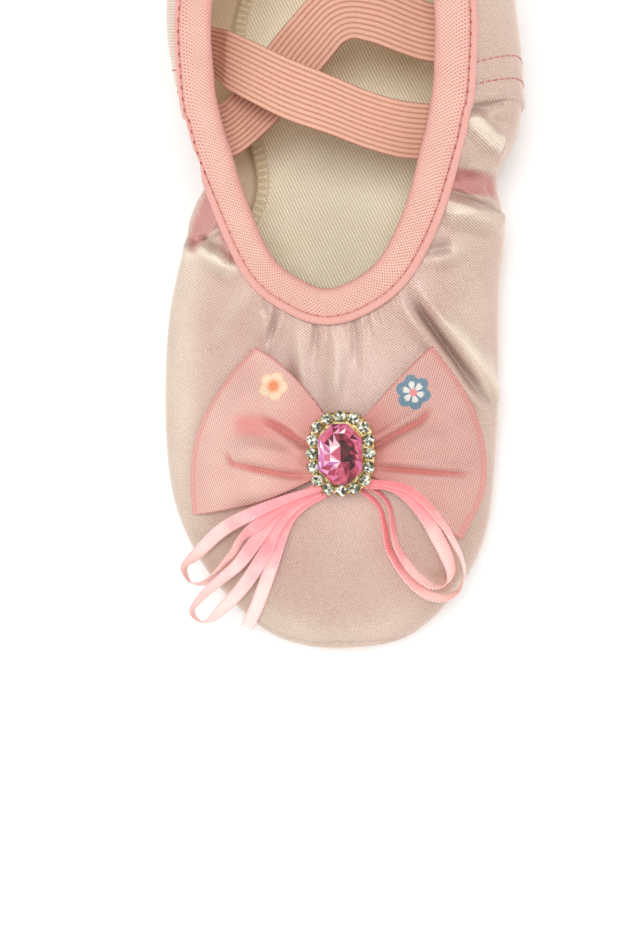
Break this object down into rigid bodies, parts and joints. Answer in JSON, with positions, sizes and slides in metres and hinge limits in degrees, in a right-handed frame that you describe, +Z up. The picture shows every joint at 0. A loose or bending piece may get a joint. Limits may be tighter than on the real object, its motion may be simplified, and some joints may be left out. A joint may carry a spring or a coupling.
{
  "type": "ballet flat",
  "caption": "Child's left ballet flat: hollow satin upper with a bound collar, flat sole, insole, crossed elastic straps, and a cloth bow with ribbon loops and a gem brooch on the vamp.",
  "frame": {"origin": "on the floor, under the middle of the shoe's length and width", "axes": "+Z up, the toe towards -Y, the heel towards +Y, the inner side of the foot towards -X"},
  "size_m": [0.0806, 0.1765, 0.0497],
  "materials": {
    "sole": "suede",
    "satin": "satin",
    "insole_cloth": "twill",
    "binding_cloth": "matte",
    "elastic": "ribbed",
    "bow_cloth": "fine mesh",
    "ribbon": "satin",
    "gilt": "polished",
    "gem_glass": "faceted",
    "stone_glass": "faceted"
  },
  "bodies": {
    "root": {"outsole": "sole", "upper": "satin", "insole": "insole_cloth", "collar_binding": "binding_cloth", "collar_welt": "binding_cloth", "elastic_strap_front": "elastic", "elastic_strap_back": "elastic", "bow_wing_left": "bow_cloth", "bow_wing_right": "bow_cloth", "ribbon_loop_left_upper": "ribbon", "ribbon_loop_left_lower": "ribbon", "ribbon_tail_left": "ribbon", "ribbon_loop_right_outer": "ribbon", "ribbon_loop_right_inner": "ribbon", "brooch_setting": "gilt", "gem": "gem_glass", "rhinestone_01": "stone_glass", "rhinestone_02": "stone_glass", "rhinestone_03": "stone_glass", "rhinestone_04": "stone_glass", "rhinestone_05": "stone_glass", "rhinestone_06": "stone_glass", "rhinestone_07": "stone_glass", "rhinestone_08": "stone_glass", "rhinestone_09": "stone_glass", "rhinestone_10": "stone_glass", "rhinestone_11": "stone_glass", "rhinestone_12": "stone_glass", "rhinestone_13": "stone_glass", "rhinestone_14": "stone_glass", "rhinestone_15": "stone_glass", "rhinestone_16": "stone_glass"}
  },
  "joints": []
}
